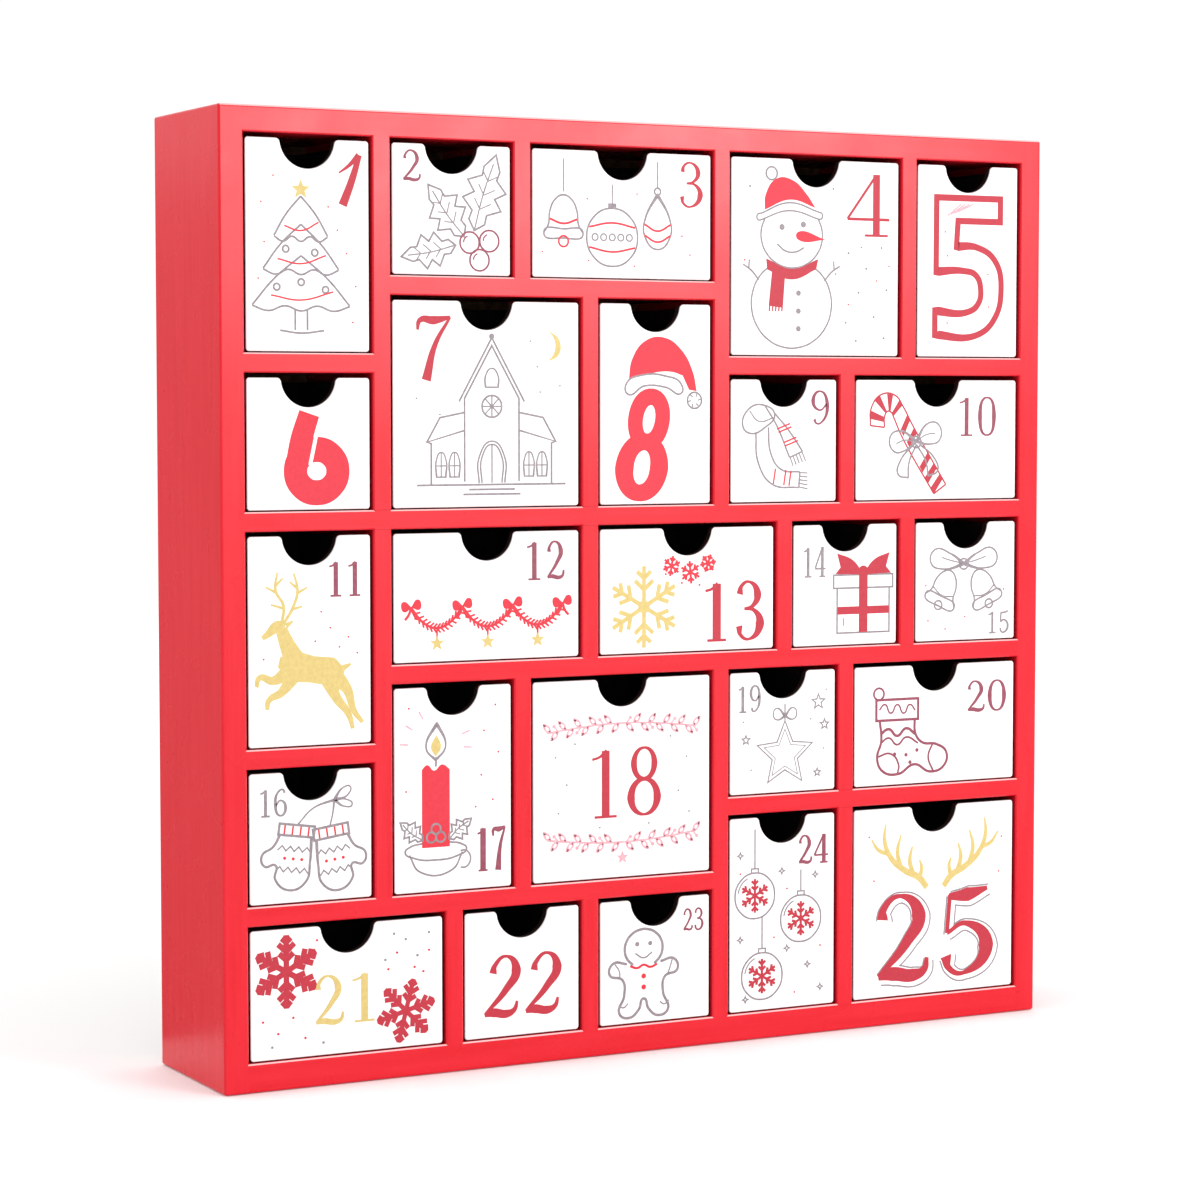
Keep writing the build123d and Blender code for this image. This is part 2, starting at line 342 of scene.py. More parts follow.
# numerals: strokes in shares of the height, each point with its own stroke width
digitStrokes = {
    "0": [([(0.3, 0.985, 0.03), (0.07, 0.5, 0.14), (0.3, 0.015, 0.03), (0.53, 0.5, 0.14)], True)],
    "1": [([(0.31, 0.0, 0.13), (0.31, 0.97, 0.13)], False),
          ([(0.33, 0.97, 0.05), (0.2, 0.88, 0.03), (0.08, 0.85, 0.03)], False),
          ([(0.12, 0.015, 0.03), (0.5, 0.015, 0.03)], False)],
    "2": [([(0.1, 0.72, 0.1), (0.11, 0.84, 0.06), (0.29, 0.985, 0.03), (0.48, 0.75, 0.13), (0.36, 0.45, 0.09),
            (0.06, 0.06, 0.03)], False),
          ([(0.06, 0.05, 0.04), (0.2, 0.08, 0.11), (0.42, 0.045, 0.1), (0.54, 0.1, 0.06), (0.57, 0.24, 0.03)],
           False)],
    "3": [([(0.1, 0.78, 0.1), (0.14, 0.92, 0.05), (0.3, 0.985, 0.03), (0.47, 0.77, 0.12), (0.36, 0.57, 0.05),
            (0.2, 0.53, 0.03)], False),
          ([(0.2, 0.53, 0.03), (0.4, 0.5, 0.05), (0.52, 0.27, 0.14), (0.3, 0.015, 0.03), (0.12, 0.09, 0.05),
            (0.09, 0.24, 0.1)], False)],
    "4": [([(0.41, 0.98, 0.035), (0.02, 0.28, 0.035)], False),
          ([(0.02, 0.275, 0.04), (0.6, 0.275, 0.04)], False),
          ([(0.42, 1.0, 0.13), (0.42, 0.0, 0.13)], False),
          ([(0.26, 0.015, 0.03), (0.58, 0.015, 0.03)], False)],
    "5": [([(0.12, 0.93, 0.05), (0.32, 0.94, 0.11), (0.53, 1.0, 0.03)], False),
          ([(0.13, 0.95, 0.035), (0.1, 0.5, 0.035)], False),
          ([(0.1, 0.5, 0.03), (0.3, 0.6, 0.04), (0.52, 0.32, 0.14), (0.28, 0.015, 0.03), (0.12, 0.09, 0.05),
            (0.09, 0.23, 0.1)], False)],
    "6": [([(0.49, 0.84, 0.09), (0.42, 0.96, 0.04), (0.28, 0.95, 0.03), (0.07, 0.42, 0.13),
            (0.3, 0.015, 0.03), (0.53, 0.3, 0.13), (0.32, 0.57, 0.03), (0.09, 0.4, 0.04)], False)],
    "7": [([(0.06, 0.78, 0.03), (0.09, 0.93, 0.07), (0.3, 0.93, 0.12), (0.56, 0.98, 0.04)], False),
          ([(0.56, 0.98, 0.03), (0.36, 0.55, 0.07), (0.27, 0.0, 0.14)], False)],
    "8": [([(0.3, 0.985, 0.03), (0.12, 0.76, 0.1), (0.3, 0.53, 0.06), (0.48, 0.76, 0.1)], True),
          ([(0.3, 0.53, 0.05), (0.07, 0.26, 0.13), (0.3, 0.015, 0.03), (0.53, 0.26, 0.13)], True)],
    "9": [([(0.11, 0.16, 0.09), (0.18, 0.04, 0.04), (0.32, 0.05, 0.03), (0.53, 0.58, 0.13),
            (0.3, 0.985, 0.03), (0.07, 0.7, 0.13), (0.28, 0.43, 0.03), (0.51, 0.6, 0.04)], False)],
}
digitStep = {"width": 0.6, "gap": 0.08}


def number(art, ink, text, box, slant=0, weight=1, least=0, spread=0, shift=(0, 0)):
    u0, v0, u1, v1 = box
    tall = v1 - v0
    pitch = digitStep["width"] + digitStep["gap"]
    row = len(text) * pitch - digitStep["gap"]
    for i, digit in enumerate(text):
        for knots, closed in digitStrokes[digit]:
            points = []
            for x, y, thick in knots:
                across = (i * pitch + x) / row
                u = u0 + across * (u1 - u0 - slant * tall) + slant * tall * y
                wide = max(thick * weight * tall, least * tall, stroke["leastMm"]) + spread
                points.append((u + shift[0], v0 + y * tall + shift[1], wide))
            line(art, ink, points, closed=closed, smooth=len(points) > 2)


# drawings

def drawTree(art):
    for top, base, half in ((47, 35, 8.8), (38.5, 25, 12.4), (29, 14, 16)):
        line(art, "grey", [(18, top), (18 - half * 0.55, (top + base) / 2 + 0.5), (18 - half, base)])
        line(art, "grey", [(18, top), (18 + half * 0.55, (top + base) / 2 + 0.5), (18 + half, base)])
        hem = [(18 + half * (-1 + i / 3), base - (1.7 if i % 2 else 0.2)) for i in range(7)]
        line(art, "grey", hem)
        line(art, "red", [(18 - half * 0.62, base + 3), (18, base + 1.6), (18 + half * 0.66, base + 4.2)],
             0.3)
    for u in (16, 20):
        line(art, "grey", [(u, 12.6), (u, 6.5)], smooth=False)
    line(art, "grey", [(11, 6.4), (18, 5.6), (25.5, 6.4)])
    shape(art, "gold", starPoints(18, 49, 3.2), smooth=False)
    for u, v in ((13, 31), (22.5, 30), (10, 19.5), (18, 21), (26, 18.8)):
        circle(art, "grey", u, v, 1.0)
    speckle(art, "red", [(5, 45), (9, 53), (6, 33), (33, 30), (36, 20), (30, 37), (4, 22), (35, 9), (27, 44)])
    line(art, "crimson", [(30.6, 54.4, 0.3), (34, 56.8, 0.9), (37.2, 60, 1.7)])
    line(art, "crimson", [(37.4, 60, 1.5), (35, 52.6, 2.1), (31.8, 44.6, 2.6)])


def leafOutline(length, half):
    # spiny holly leaf along +u, from stalk to tip
    edge = [(0, 0)]
    for i in range(1, 8):
        reach = half * sin(pi * i / 8)
        edge.append((length * i / 8, reach * (1.25 if i % 2 else 0.62)))
    edge.append((length * 1.08, 0))
    return edge + [(u, -v) for u, v in reversed(edge[1:-1])]


def hollyLeaf(art, ink, u, v, length, half, turn):
    line(art, ink, placed(leafOutline(length, half), u, v, 1, turn), closed=True, smooth=False)
    line(art, ink, placed([(0.5, 0), (length * 0.5, 0.5), (length * 0.95, 0)], u, v, 1, turn), 0.26)
    for share in (0.3, 0.5, 0.7):
        for side in (-1, 1):
            vein = [(length * share, 0.2), (length * (share + 0.12), side * half * 0.5)]
            line(art, ink, placed(vein, u, v, 1, turn), 0.2, smooth=False)


def drawHolly(art):
    hollyLeaf(art, "grey", 28, 14, 23, 6, 72)
    hollyLeaf(art, "grey", 24.5, 12, 18.5, 5.2, 128)
    hollyLeaf(art, "grey", 21.6, 9.3, 17.6, 4.6, 192)
    for u, v in ((26.4, 10.2), (33.2, 10.8), (29.8, 4.8)):
        circle(art, "plum", u, v, 3.3, width=0.38)
        line(art, "plum", ring(u, v, 2.1, start=110, turn=70, count=4), 0.25)
    number(art, "plum", "2", (3.2, 28.6, 9.8, 38.2), weight=0.85)


def drawOrnaments(art):
    # a row of three hung ornaments: bell, ball and drop
    for u, low, high in ((11, 27, 37.5), (28.5, 23, 29.8), (45, 29, 37.5)):
        line(art, "grey", [(u, low), (u, high)], 0.26, smooth=False)
    bell = [(-7, 0), (-5.4, 2.6), (-4.8, 7), (-3, 10.5), (0, 12), (3, 10.5), (4.8, 7), (5.4, 2.6), (7, 0)]
    line(art, "grey", placed(bell, 11, 14), corners=(0, 8))
    line(art, "grey", placed([(-7, 0), (0, -1.6), (7, 0), (0, 1.3)], 11, 14), closed=True)
    line(art, "red", placed([(-4.9, 4.4), (0, 3), (4.9, 4.4)], 11, 14), 0.5)
    circle(art, "red", 11, 11.4, 1.7, width=0.4)
    circle(art, "grey", 28.5, 13, 9.2)
    shape(art, "grey", placed([(-1.5, 0), (1.5, 0), (1.5, 1.6), (-1.5, 1.6)], 28.5, 22.2), smooth=False)
    for level, bow in ((16.2, 1.4), (9.8, -1.4)):
        line(art, "red", [(20.2, level), (28.5, level + bow), (36.8, level)], 0.45)
    for i in range(5):
        circle(art, "grey", 22.3 + 3.1 * i, 13, 1.05, width=0.3)
    drop = [(0, 11), (4.4, 3.5), (4.8, -2), (0, -6.5), (-4.8, -2), (-4.4, 3.5)]
    line(art, "grey", placed(drop, 45, 16), closed=True, corners=(0,))
    line(art, "red", placed([(-4.8, 1.5), (0, -0.6), (4.8, 1.5)], 45, 16), 0.45)
    line(art, "red", placed([(-4.8, -2), (0, -4.1), (4.8, -2)], 45, 16), 0.45)
    circle(art, "grey", 45, 28, 1.1)
    speckle(art, "red", [(19.5, 25), (37.5, 27), (54, 14), (3.5, 8), (20, 5.5), (36.5, 4), (57, 8)])
    number(art, "crimson", "3", (52.6, 23.3, 62, 37.8), weight=0.9)


def drawSnowman(art):
    line(art, "grey", ring(23, 17, 15.4, 14.6, start=118, turn=304, count=14), 0.4)
    line(art, "grey", ring(23, 39.5, 11.8, 10.8, start=150, turn=240, count=12), 0.4)
    cap = [(12.6, 47.5), (13, 52.6), (17.2, 57.8), (23.2, 57.4), (28.6, 53), (32, 48.6), (22.5, 51)]
    shape(art, "red", cap, corners=(0, 5))
    line(art, "grey", [(11, 46.2), (22, 50), (33.5, 47.2)], 0.35)
    line(art, "grey", [(10.6, 44), (22, 47.4), (33.8, 44.8)], 0.35)
    line(art, "grey", ring(10.8, 45.1, 1.2, start=80, turn=200, count=5), 0.35)
    line(art, "grey", ring(33.6, 46, 1.2, start=-100, turn=200, count=5), 0.35)
    circle(art, "grey", 15.2, 59.4, 2.1)
    shape(art, "red", [(25.5, 40.6), (36, 38.2), (25.8, 37.8), (24.6, 39.2)], corners=(1,))
    dot(art, "grey", 19.2, 42, 1.0)
    dot(art, "grey", 27.4, 43, 1.0)
    line(art, "grey", [(17.4, 36.4), (20.6, 34.2), (24.6, 34), (27.6, 35.4)], 0.4)
    shape(art, "crimson", [(13.2, 31.6), (23, 28.4), (33.2, 31.8), (32.4, 28.4), (23, 24.9), (13.6, 28)],
          corners=(0, 2, 3, 5))
    shape(art, "crimson", [(15.4, 27.2), (20.4, 26.2), (19.6, 15.6), (14.2, 16.2)], smooth=False)
    for i in range(5):
        line(art, "crimson", [(14.6 + 1.2 * i, 16.3), (14.4 + 1.2 * i, 14.4)], 0.3, smooth=False)
    for v in (20.5, 14.6, 8.8):
        dot(art, "grey", 25.6, v, 0.9)
    for flip in (False, True):
        line(art, "grey", placed([(12.6, 0), (15.4, 3), (18.6, 5)], 23, 24.6, 1, 0, flip), 0.4)
        line(art, "grey", placed([(16.4, 3.8), (16.2, 6.6)], 23, 24.6, 1, 0, flip), 0.34, smooth=False)
    speckle(art, "grey", [(45, 34), (52, 29), (58, 36), (49, 21), (60, 22), (55, 13), (44, 11), (59, 6),
                          (39, 55), (7, 55), (48, 5)], 0.4)
    speckle(art, "red", [(50, 36), (56, 25), (45, 17), (61, 30), (40, 27), (5, 31)], 0.3)
    number(art, "crimson", "4", (44, 39.7, 61, 60.2), weight=0.92)


def drawBlockFive(art):
    # hollow block numeral with a heavy outline
    outer = [(7.5, 53.5), (33.5, 53.5), (33.5, 45.8), (16.2, 45.8), (15.6, 37.2), (24, 37), (31.5, 32.5),
             (34, 23), (31, 12.5), (23.5, 7.2), (7, 7.4), (7, 15.4), (20.5, 15.2), (24.6, 18), (25.6, 23),
             (23.6, 27.6), (18.5, 29), (7.4, 28.6)]
    line(art, "crimson", outer, 2, closed=True, corners=(0, 1, 2, 3, 4, 10, 11, 17))
    for i in range(4):
        line(art, "pink", [(12 + 1.3 * i, 47.5 + 0.4 * i), (17.5 + 1.6 * i, 51.5)], 0.3, smooth=False)
    speckle(art, "red", [(11, 42), (12, 34), (28.5, 28), (29, 17), (12, 11.4)], 0.3)


def drawHeavySix(art):
    line(art, "red", [(20.4, 29.4, 6.6), (17.8, 21.5, 7), (15.9, 13, 6.8)])
    circle(art, "red", 22.8, 11.8, 7, 6.6, 7.5)
    line(art, "white", [(22.8, 23.4), (20.6, 13.6)], 1, smooth=False)


def drawChapel(art):
    grey = "grey"
    line(art, grey, [(24.5, 8), (24.5, 34), (34, 50.5), (43.5, 34), (43.5, 8)], smooth=False)
    line(art, grey, [(22.6, 33), (34, 53), (45.4, 33)], 0.42, smooth=False)
    dot(art, grey, 34, 53.4, 0.9)
    for side in (-1, 1):
        wing = [(34 + side * 9.5, 24), (34 + side * 22.5, 20.4), (34 + side * 21, 20), (34 + side * 21, 7)]
        line(art, grey, wing, smooth=False)
        line(art, grey, [(34 + side * 9.5, 29.6), (34 + side * 18, 28), (34 + side * 22.5, 20.4)],
             smooth=False)
        for u in (34 + side * 13, 34 + side * 17.6):
            pane = [(u - 1.6, 9.5), (u - 1.6, 15), (u, 17.2), (u + 1.6, 15), (u + 1.6, 9.5)]
            line(art, grey, pane, 0.3, closed=True, corners=(0, 4))
            line(art, grey, [(u, 9.5), (u, 17)], 0.22, smooth=False)
            line(art, grey, [(u - 1.6, 13), (u + 1.6, 13)], 0.22, smooth=False)
    for inset in (0, 1):
        door = [(29.5 + inset, 7.5), (29.5 + inset, 15.5), (34, 20.6 - inset), (38.5 - inset, 15.5),
                (38.5 - inset, 7.5)]
        line(art, grey, door, 0.34, corners=(0, 4))
    line(art, grey, [(34, 7.5), (34, 19.6)], 0.26, smooth=False)
    circle(art, grey, 34, 31.5, 3.4)
    for a in range(0, 180, 45):
        line(art, grey, placed([(-3.4, 0), (3.4, 0)], 34, 31.5, 1, a), 0.24, smooth=False)
    line(art, grey, [(31.8, 37.5), (31.8, 41), (34, 43.4), (36.2, 41), (36.2, 37.5)], 0.3, closed=True,
         corners=(0, 4))
    for i in range(3):
        line(art, grey, [(28 - 2 * i, 7 - 1.5 * i), (40 + 2 * i, 7 - 1.5 * i)], smooth=False)
    line(art, grey, [(8, 7), (28, 7)], smooth=False)
    line(art, grey, [(40, 7), (60, 7)], smooth=False)
    shape(art, "gold", [(54, 55.4), (57.8, 52.4), (57.6, 47.8), (53.6, 45.6), (56, 48.4), (56.2, 52.2)],
          corners=(0, 3))
    speckle(art, grey, [(50, 44), (58, 38), (8, 34), (16, 29), (47.5, 52), (51, 36)], 0.3)
    number(art, "crimson", "7", (5.5, 39.6, 20.5, 59.6), slant=0.1, weight=1.05)


def drawHatAndEight(art):
    number(art, "red", "8", (5.4, 3.2, 27.4, 35), slant=0.17, weight=1.6, least=0.165)
    cap = [(10.4, 40), (11.6, 46.6), (16.6, 52.6), (23.4, 53.6), (29.8, 49.6), (34, 42.5), (35.4, 36.4),
           (32.6, 36.8), (30.2, 41.4), (26, 42.6), (18, 42)]
    shape(art, "red", cap, corners=(0, 6, 7, 8))
    brim = [(9.4, 38.6), (16, 41.6), (24, 41.2), (29.4, 39), (29.8, 35.8), (24, 37.6), (16, 38), (10, 35.4)]
    line(art, "grey", brim, closed=True)
    circle(art, "grey", 34.6, 33.4, 2.6)
    for a in range(0, 360, 60):
        line(art, "grey", placed([(1.2, 0), (2.2, 0.4)], 34.6, 33.4, 1, a), 0.26, smooth=False)


def drawScarf(art):
    line(art, "grey", [(4.5, 25), (7, 30.8), (12.6, 31.8), (16.6, 28.8), (13, 24.6), (7.4, 22.6)],
         closed=True)
    line(art, "grey", [(7, 30), (10.5, 26.6), (16, 27.6)], 0.28)
    line(art, "grey", [(12.8, 31.8), (17.5, 25), (22.4, 14.6)])
    line(art, "grey", [(16.4, 29.4), (22, 23.6), (27.4, 16.6)])
    line(art, "grey", [(22.4, 14.6), (27.4, 16.6)], smooth=False)
    line(art, "grey", [(9.4, 23), (10.4, 13), (15.5, 6), (26, 4.6)])
    line(art, "grey", [(14.2, 24.6), (15.2, 16), (19, 10.8), (26.4, 9.8)])
    line(art, "grey", [(26, 4.6), (26.4, 9.8)], smooth=False)
    for share in (0, 0.12, 0.5, 0.62):
        line(art, "red", [(20.6 - 5 * share, 18.4 + 9 * share), (25.6 - 5 * share, 20.2 + 9 * share)], 0.34,
             smooth=False)
    for u in (23, 21, 17):
        line(art, "red", [(u - 0.8, 4.9 + (26 - u) * 0.12), (u, 9.9 + (26 - u) * 0.12)], 0.34, smooth=False)
    for i in range(5):
        line(art, "grey", [(26.2 + 0.06 * i, 4.8 + 1.2 * i), (29.4, 4.2 + 1.3 * i)], 0.26, smooth=False)
        line(art, "grey", [(22.6 + 1.15 * i, 14.7 + 0.45 * i), (23.8 + 1.2 * i, 11.8 + 0.4 * i)], 0.26,
             smooth=False)
    number(art, "plum", "9", (30.6, 25.4, 37.8, 36.6), weight=0.85)


def drawCane(art):
    # hooked stick with slanting stripes and a bow
    hook = [(5.6, 25), (6, 31), (10, 35.4), (15.6, 35), (18.6, 31.4), (22.4, 25.2), (36, 5)]
    inner = [(11.2, 24.4), (11.3, 28.2), (12.5, 29.8), (13.9, 29.4), (15, 27.5), (17.9, 21.8), (31.2, 1.9)]
    line(art, "crimson", hook, 0.36)
    line(art, "crimson", inner, 0.36)
    line(art, "crimson", [(5.6, 25), (11.2, 24.4)], 0.36, smooth=False)
    line(art, "crimson", [(36, 5), (31.2, 1.9)], 0.36, smooth=False)
    bends = [[(5.7, 27.2), (5.9, 30), (11.3, 27.8), (11.3, 26.1)],
             [(7.4, 33.2), (9.4, 35), (12.2, 29.7), (11.7, 29)],
             [(12.2, 35.6), (14.6, 35.4), (13.6, 29.6), (12.9, 29.8)],
             [(17, 33.4), (18.4, 31.8), (14.8, 28.1), (14.1, 29.2)]]
    for points in bends:
        shape(art, "crimson", points, smooth=False)
    for a in (0.1, 0.26, 0.58, 0.72, 0.86):
        upper = [(18.6 + 17.4 * t, 31.4 - 26.4 * t) for t in (a, a + 0.07)]
        lower = [(15 + 16.2 * t, 27.5 - 25.6 * t) for t in (a + 0.14, a + 0.06)]
        shape(art, "crimson", upper + lower, smooth=False)
    for flip in (False, True):
        loop = [(0, 0), (6, 5), (10, 3.6), (9.4, -1.4), (5, -2)]
        line(art, "grey", placed(loop, 24, 19.6, 1, 12, flip), closed=True, corners=(0,))
        line(art, "grey", placed([(0, 0), (4.6, 1.4), (8, 1)], 24, 19.6, 1, 12, flip), 0.26)
        line(art, "grey", placed([(0, -1), (3.4, -7), (4, -12)], 24, 19.6, 1, 4, flip))
        line(art, "grey", placed([(1.2, -1), (6.8, -6), (8, -10.4), (4, -12)], 24, 19.6, 1, 4, flip))
    circle(art, "grey", 24, 19.4, 1.9)
    number(art, "plum", "10", (40.5, 21.4, 56.5, 34.6), weight=0.8)


def drawReindeer(art):
    # leaping to the left, built of swelling strokes
    gold = "gold"
    line(art, gold, [(10, 26, 3), (15, 24.6, 9.4), (21, 23.4, 8), (27.5, 22.4, 8.6), (31.4, 21.4, 3)])
    line(art, gold, [(15, 26.6, 6.6), (12.6, 31.5, 4.8), (10.8, 36, 3.6)])
    line(art, gold, [(12, 36.4, 2.8), (9.6, 36.8, 3.6), (6.4, 34.6, 2), (4.6, 33.4, 1.2)])
    line(art, gold, [(12.4, 37, 1.6), (14.6, 38.4, 0.3)], smooth=False)
    for points in ([(13, 23, 4.6), (8, 20.4, 2.5), (3.6, 21.4, 1.6), (2.6, 18.6, 1.1)],
                   [(14.6, 21.4, 4.6), (10.6, 16.6, 2.5), (6.6, 14.4, 1.6), (6, 11.6, 1.1)],
                   [(28.4, 21, 5.6), (32.6, 16.6, 3), (34.6, 10.4, 1.8), (37.6, 6.4, 1.1)],
                   [(26.4, 20, 5.2), (28.8, 14.6, 3), (33, 9, 1.8), (34.4, 4.6, 1.1)]):
        line(art, gold, points)
    line(art, gold, [(31, 23.4, 1.8), (33.8, 24.6, 0.5)], smooth=False)
    line(art, gold, [(11, 38, 0.8), (11.6, 43, 0.75), (9, 48, 0.7), (9.6, 53.4, 0.4)])
    line(art, gold, [(11.8, 38, 0.8), (14.6, 42.4, 0.75), (16.2, 47.6, 0.7), (15, 53, 0.4)])
    for a, b in (((11.5, 42.4), (7.4, 43.6)), ((9.6, 47), (5.8, 49)), ((9.1, 49.4), (11.4, 51.6)),
                 ((14.4, 42), (17.8, 42.8)), ((16, 46.8), (19.4, 48.6)), ((15.9, 48.6), (13.6, 50.4))):
        line(art, gold, [a + (0.7,), b + (0.35,)], smooth=False)
    speckle(art, "red", [(27, 36), (33, 33), (24, 41), (36, 28), (22, 32), (30, 30), (5, 27)], 0.3)
    number(art, "plum", "11", (26, 45.6, 38, 56.4), weight=0.9)


def drawGarland(art):
    # draped pine garland with bows and hung stars
    for i in range(3):
        left = 6 + 17.6 * i
        line(art, "red", [(left, 17), (left + 4.4, 12.2), (left + 8.8, 10.6), (left + 13.2, 12.2),
                          (left + 17.6, 17)], 0.6)
        for j in range(1, 14):
            share = j / 14
            for lean in (50, -50):
                u, v = left + 17.6 * share, 17 - 25.6 * share * (1 - share)
                needle = placed([(0, 0), (1.9, 0)], u, v, 1, lean - 45 + 90 * share)
                line(art, "red", needle, 0.42, smooth=False)
        line(art, "red", [(left + 8.8, 10.4), (left + 8.8, 7.4)], 0.36, smooth=False)
        shape(art, "gold", starPoints(left + 8.8, 5.8, 2.5), smooth=False)
    for i in range(4):
        for flip in (False, True):
            loop, tail = [(0, 0), (2.6, 2), (3.4, 0), (2.6, -1.2)], [(0, 0), (1, -2.6), (2.2, -4)]
            shape(art, "red", placed(loop, 6 + 17.6 * i, 17.4, 1, 8, flip), corners=(0,))
            line(art, "red", placed(tail, 6 + 17.6 * i, 17.4, 1, 0, flip), 0.6)
    number(art, "plum", "12", (45.4, 24.8, 59.6, 37), weight=0.85)


def drawGoldFlake(art):
    snowflake(art, "gold", 16, 15, 13.2, 1.2, ((0.42, 0.34), (0.7, 0.26)))
    shape(art, "gold", starPoints(16, 15, 3.6, 0.55, 6), smooth=False)
    for u, v, r, turn in ((26.2, 28, 3.3, 80), (33.2, 25.8, 3.7, 95), (39.8, 28.6, 3, 70)):
        snowflake(art, "red", u, v, r, 0.55, ((0.5, 0.4),), turn)
    speckle(art, "red", [(30, 22.4), (36.6, 21.6), (24, 25.4)], 0.35)
    number(art, "crimson", "13", (37.4, 3, 61, 22.4), weight=1.12)


def drawGift(art):
    line(art, "grey", [(17, 4), (37.6, 4), (37.6, 19), (17, 19)], closed=True, smooth=False)
    line(art, "grey", [(15.6, 19), (39, 19), (39, 23.4), (15.6, 23.4)], closed=True, smooth=False)
    shape(art, "crimson", [(25.6, 4.1), (29, 4.1), (29, 23.3), (25.6, 23.3)], smooth=False)
    shape(art, "crimson", [(17.1, 10.2), (37.5, 10.2), (37.5, 12.8), (17.1, 12.8)], smooth=False)
    for flip in (False, True):
        wing = [(0, 0), (4, 4.8), (10.4, 7.3), (9, 2.6), (11, 0.4)]
        shape(art, "crimson", placed(wing, 27.3, 23.4, 1, 0, flip), corners=(0, 2, 3, 4))
    dot(art, "crimson", 27.3, 24.4, 2)
    line(art, "grey", [(19.5, 6.4), (19.5, 9)], 0.26, smooth=False)
    number(art, "grey", "14", (3.4, 23, 12.4, 33), weight=0.68)


def drawBells(art):
    bell = [(-6.4, -8), (-4.8, -5.6), (-4.3, -1.4), (-2.4, 1.9), (0, 3), (2.4, 1.9), (4.3, -1.4), (4.8, -5.6),
            (6.4, -8)]
    for u, turn in ((13, -24), (26, 24)):
        line(art, "grey", placed(bell, u, 21, 1, turn), corners=(0, 8))
        line(art, "grey", placed([(-6.4, -8), (0, -9.8), (6.4, -8), (0, -6.4)], u, 21, 1, turn), closed=True)
        line(art, "grey", placed([(-4.6, -4.6), (0, -6), (4.6, -4.6)], u, 21, 1, turn), 0.28)
        circle(art, "grey", *placed([(0, -9.6)], u, 21, 1, turn)[0], 1.5)
    for flip in (False, True):
        loop = [(0, 0), (5.4, 3.6), (12, 5), (13.4, 0.6), (8, -1.6)]
        line(art, "grey", placed(loop, 19.5, 26, 1, 0, flip), closed=True, corners=(0,))
        line(art, "grey", placed([(0.6, 0.3), (5, 1.2), (9, 2.4)], 19.5, 26, 1, 0, flip), 0.26)
    circle(art, "grey", 19.5, 26, 1.8)
    speckle(art, "red", [(5, 7), (12, 4), (20, 8), (36, 17), (4, 19)], 0.3)
    number(art, "grey", "15", (29.2, 2, 38.4, 9.4), weight=0.68)


def drawMittens(art):
    hand = [(-5.4, 8), (-6, 0), (-5.4, -6.4), (0, -9.6), (5.4, -6.4), (5.8, -2), (9.6, -2.6), (11, 0.6),
            (7.4, 4), (5.6, 8)]
    cuff = [(-6.2, 8), (6.2, 8), (6.2, 11.6), (-6.2, 11.6)]
    for u, v, turn, flip in ((14.2, 13, -8, True), (28.2, 12, 8, False)):
        line(art, "grey", placed(hand, u, v, 0.95, turn, flip), 0.6, closed=True, corners=(0, 9))
        line(art, "grey", placed(cuff, u, v, 0.95, turn, flip), 0.6, closed=True, smooth=False)
        for level in (3.4, -3.4):
            zigzag = [(-5.8 + 1.45 * i, level + (1.2 if i % 2 else -0.4)) for i in range(9)]
            line(art, "grey", placed(zigzag, u, v, 0.95, turn, flip), 0.28, smooth=False)
        for i in range(4):
            rib = [(-4.2 + 2.8 * i, 8.4), (-4.2 + 2.8 * i, 11.2)]
            line(art, "red", placed(rib, u, v, 0.95, turn, flip), 0.34, smooth=False)
        for i in range(3):
            dot(art, "red", *placed([(-3 + 3 * i, 0.6)], u, v, 0.95, turn, flip)[0], 0.5)
    line(art, "grey", [(15.8, 24), (21, 28.8), (28, 31), (27.6, 27.4), (26.6, 23.2)], 0.3, corners=(2,))
    for loop in ([(0, 0), (3, 3.6), (5.4, 3.8), (4.4, 1.2)], [(0, 0), (3.8, 0), (6, -1.8), (3.4, -2.2)]):
        line(art, "grey", placed(loop, 28, 31), 0.3, closed=True, corners=(0,))
    number(art, "grey", "16", (3, 27, 12.4, 35.4), weight=0.75)


def drawCandle(art):
    shape(art, "red", [(9.4, 14), (19, 14), (19, 38.4), (16.4, 40), (13.6, 38.2), (11.2, 40), (9.4, 38.6)],
          corners=(0, 1, 2, 6))
    line(art, "grey", [(14.2, 39.4), (14.4, 42.4)], 0.5, smooth=False)
    line(art, "grey", [(14.2, 41.4), (10.9, 45.4), (14.6, 53), (17.6, 45.6)], 0.36, closed=True,
         corners=(0, 2))
    shape(art, "gold", [(14.2, 42.6), (12.6, 45.4), (14.5, 49.4), (16, 45.4)], corners=(0, 2))
    line(art, "grey", [(9.4, 15.4), (5.4, 14.6), (3.6, 13), (6.6, 11), (14.2, 10), (21.8, 11), (24.8, 13),
                       (23, 14.6), (19, 15.4)])
    line(art, "grey", [(5, 12), (8.6, 6.6), (19.8, 6.6), (23.4, 12)])
    line(art, "grey", ring(23.6, 9.8, 2.6, 2.8, start=-110, turn=220, count=7), 0.36)
    hollyLeaf(art, "grey", 9.6, 16.4, 9, 2.7, 142)
    hollyLeaf(art, "grey", 18.8, 16.4, 9, 2.7, 38)
    for u, v in ((12.6, 17.2), (15.8, 17.2), (14.2, 19.8)):
        circle(art, "grey", u, v, 1.6)
    for a in (-5, 20, 118, 147, 176):
        line(art, "pink", placed([(9.6, 0), (12.4, 0)], 14.3, 46, 1, a), 0.3, smooth=False)
    speckle(art, "red", [(30, 36), (34, 28), (28, 26), (36, 43), (31, 50), (4, 32), (5, 58), (35, 58)], 0.32)
    number(art, "plum", "17", (28, 5.4, 38.6, 19.4), weight=0.95)


swagTwig = {"middle": 32.3, "span": 62, "rise": 2.6}


